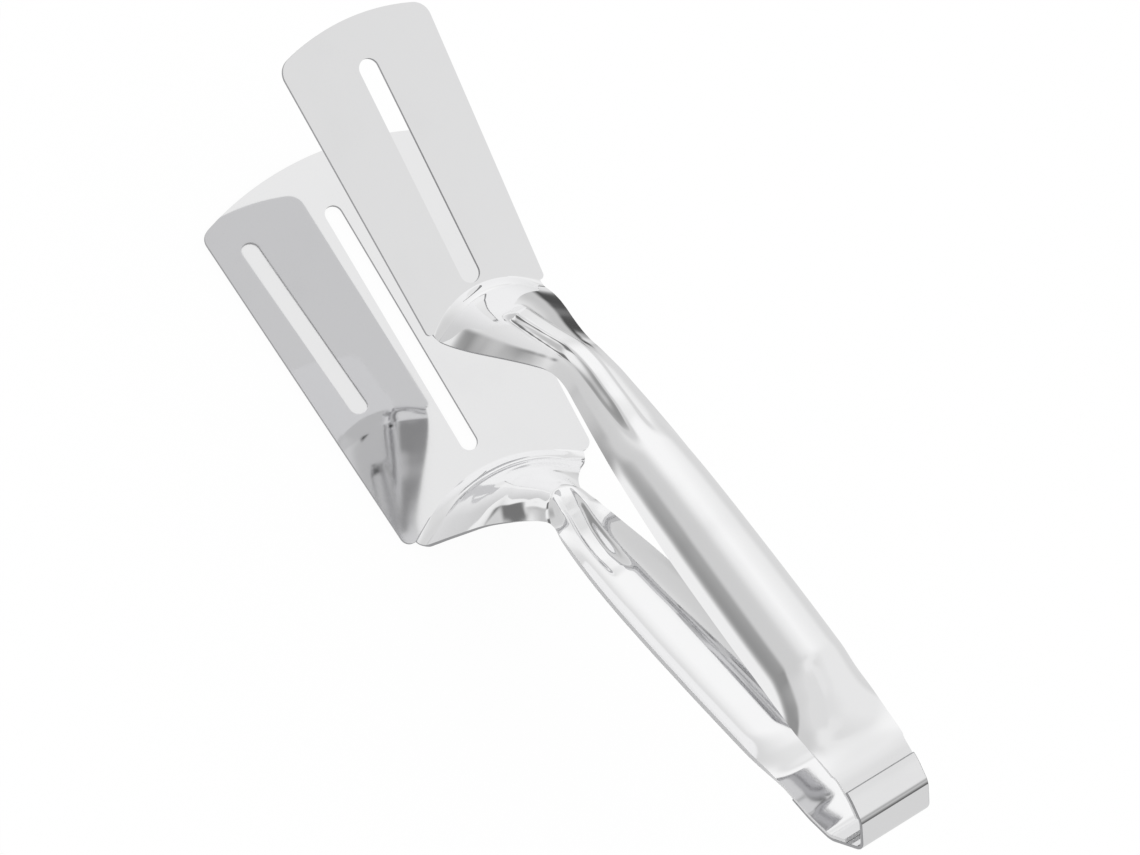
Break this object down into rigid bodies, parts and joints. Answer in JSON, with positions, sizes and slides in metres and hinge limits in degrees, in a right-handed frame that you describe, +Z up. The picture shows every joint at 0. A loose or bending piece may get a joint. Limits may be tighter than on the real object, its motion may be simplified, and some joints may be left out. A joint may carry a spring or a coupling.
{
  "type": "spatula tongs",
  "caption": "Spatula tongs pressed from polished steel sheet: a wide and a narrow slotted blade on two handles joined by a U-shaped spring.",
  "frame": {"origin": "middle of the bounding box, at the height of the flat underside of the lower blade, on which the tongs rest", "axes": "+X from the tail to the blade tips, +Y to the left of the tongs, +Z up; the tongs are symmetric about the XZ plane"},
  "size_m": [0.2436, 0.0722, 0.1188],
  "materials": {
    "lower_sheet": "mirror polished stainless steel",
    "upper_sheet": "mirror polished stainless steel",
    "spring_strip": "mirror polished spring steel"
  },
  "bodies": {
    "lower_arm": {"lower_arm": "lower_sheet", "tail_spring": "spring_strip"},
    "upper_arm": {"upper_arm": "upper_sheet"}
  },
  "joints": [
    {"name": "squeeze", "type": "hinge", "parent": "lower_arm", "child": "upper_arm", "pos_m": [-0.1187, 0, 0.103], "axis": [0, 1, 0], "range_deg": [0, 17.5], "stiffness_Nm_per_rad": 5, "springref_deg": -3.44, "deforming": ["tail_spring"]}
  ]
}
